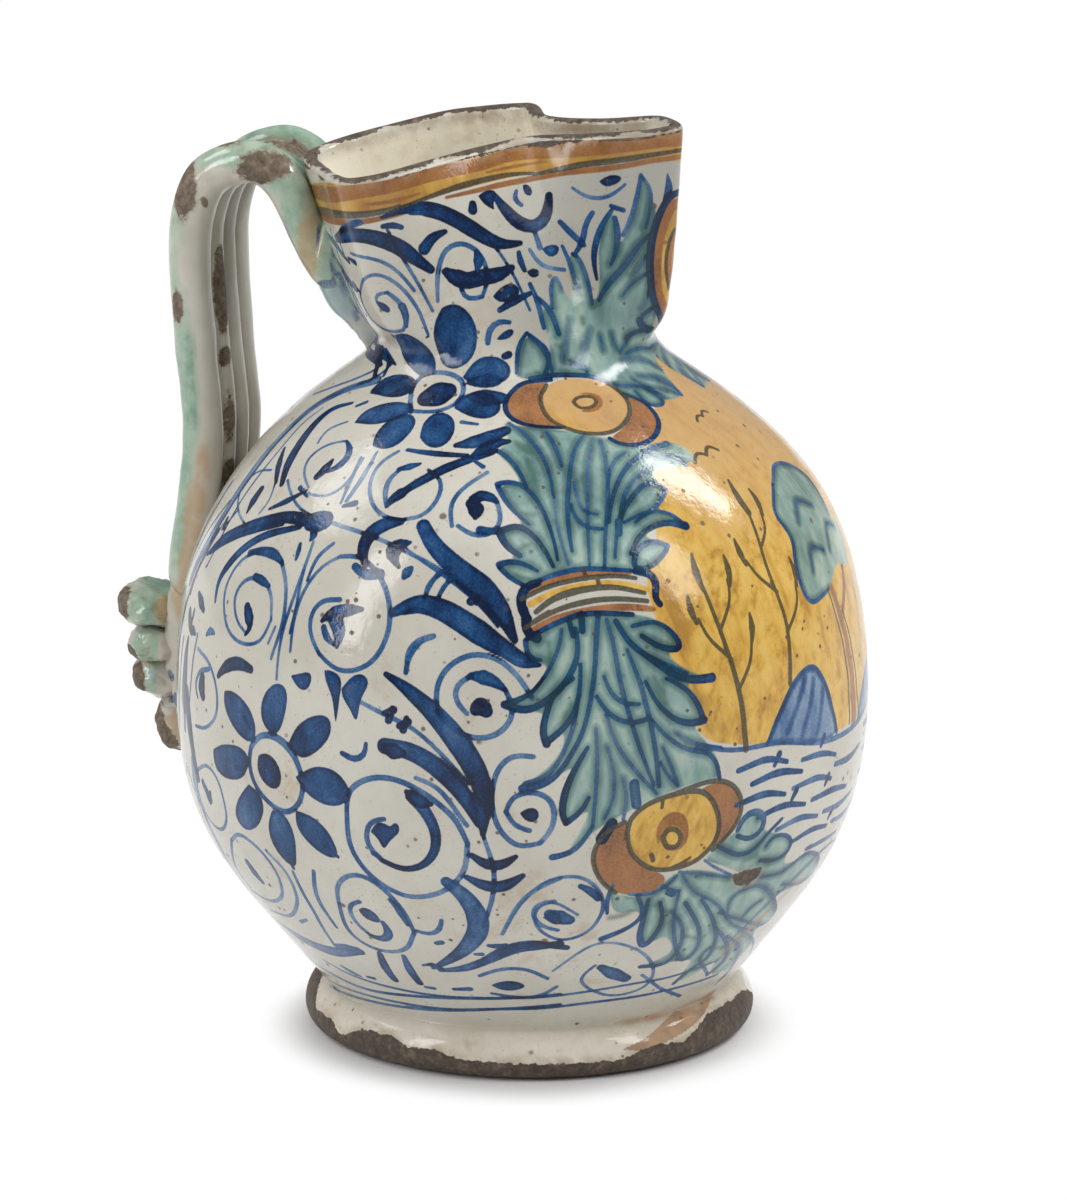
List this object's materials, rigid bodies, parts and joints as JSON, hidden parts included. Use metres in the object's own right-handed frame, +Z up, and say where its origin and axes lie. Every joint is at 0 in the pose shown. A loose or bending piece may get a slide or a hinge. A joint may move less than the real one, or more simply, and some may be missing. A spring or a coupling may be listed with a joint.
{
  "type": "jug",
  "caption": "Globular tin-glazed jug on a foot ring, with a trefoil pouring mouth and a strap handle of clay rolls ending in curled knobs.",
  "frame": {"origin": "centre of the flat base, on the surface that the jug stands on", "axes": "+Z up, +X towards the spout, -X towards the handle, +Y across the mouth"},
  "size_m": [0.2342, 0.208, 0.2781],
  "materials": {
    "white_glaze": "gloss",
    "green_glaze": "gloss",
    "foot_glaze": "satin"
  },
  "bodies": {
    "root": {"foot_ring": "foot_glaze", "body": "white_glaze", "neck": "white_glaze", "handle_edge_roll_right": "green_glaze", "handle_edge_roll_left": "green_glaze", "handle_rib_right": "green_glaze", "handle_rib_left": "green_glaze", "handle_root": "green_glaze", "handle_tail": "green_glaze", "terminal_knob_1": "green_glaze", "terminal_knob_2": "green_glaze", "terminal_knob_3": "green_glaze", "terminal_knob_4": "green_glaze", "terminal_knob_5": "green_glaze"}
  },
  "joints": []
}
